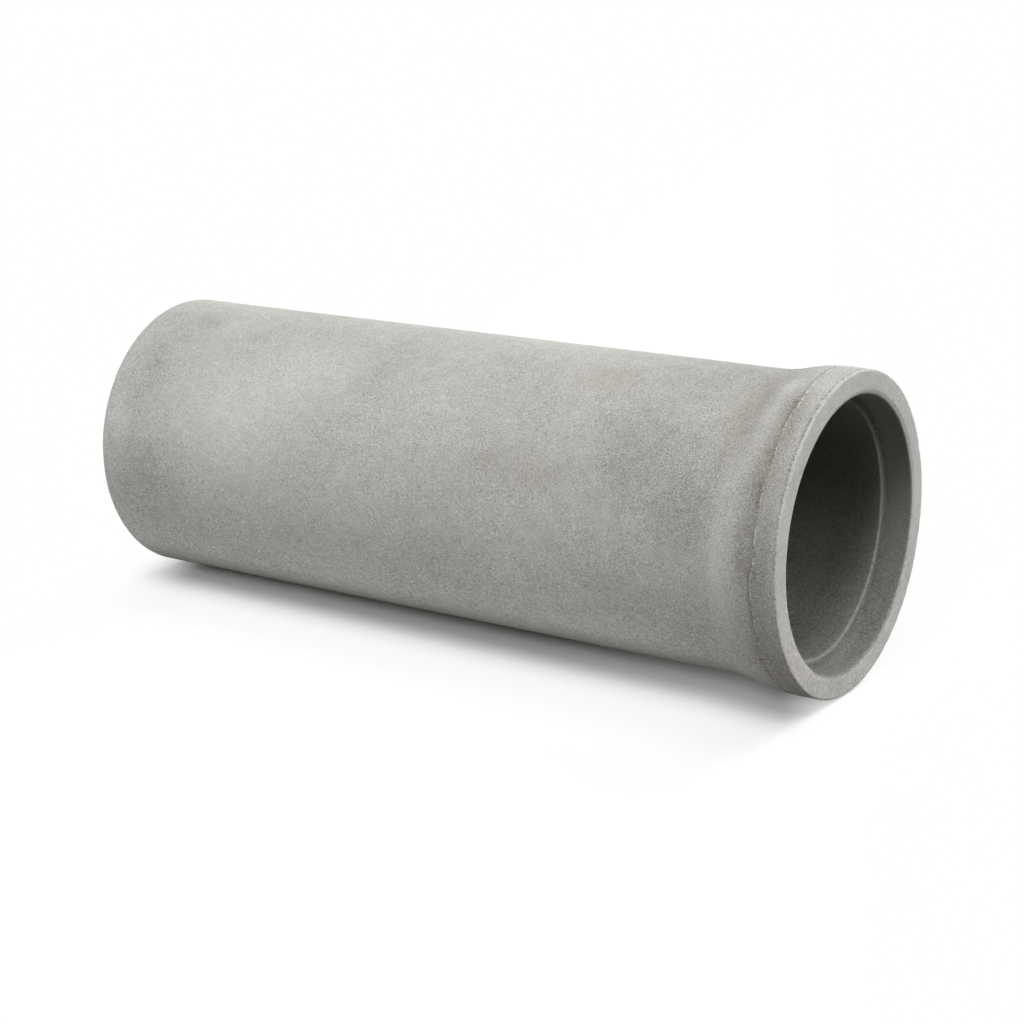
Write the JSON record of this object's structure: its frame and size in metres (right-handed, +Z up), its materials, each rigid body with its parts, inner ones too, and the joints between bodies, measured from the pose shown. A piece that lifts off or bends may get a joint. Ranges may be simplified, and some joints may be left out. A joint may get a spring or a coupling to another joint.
{
  "type": "concrete sewer pipe",
  "caption": "Straight round precast concrete sewer pipe with a flared bell and socket recess at one end and a plain spigot at the other, lying on its side.",
  "frame": {"origin": "on the floor, below the middle of the pipe's bounding box", "axes": "+Z up, +X along the pipe towards the bell; the pipe's axis rises towards the bell by 0.65 degrees, because the pipe lies on its bell and on the edge of its spigot"},
  "size_m": [2.0082, 0.7638, 0.7644],
  "materials": {
    "concrete": "bare grey concrete, fine sandy grain, faint cloudy stains"
  },
  "bodies": {
    "root": {"concrete_pipe": "concrete"}
  },
  "joints": []
}
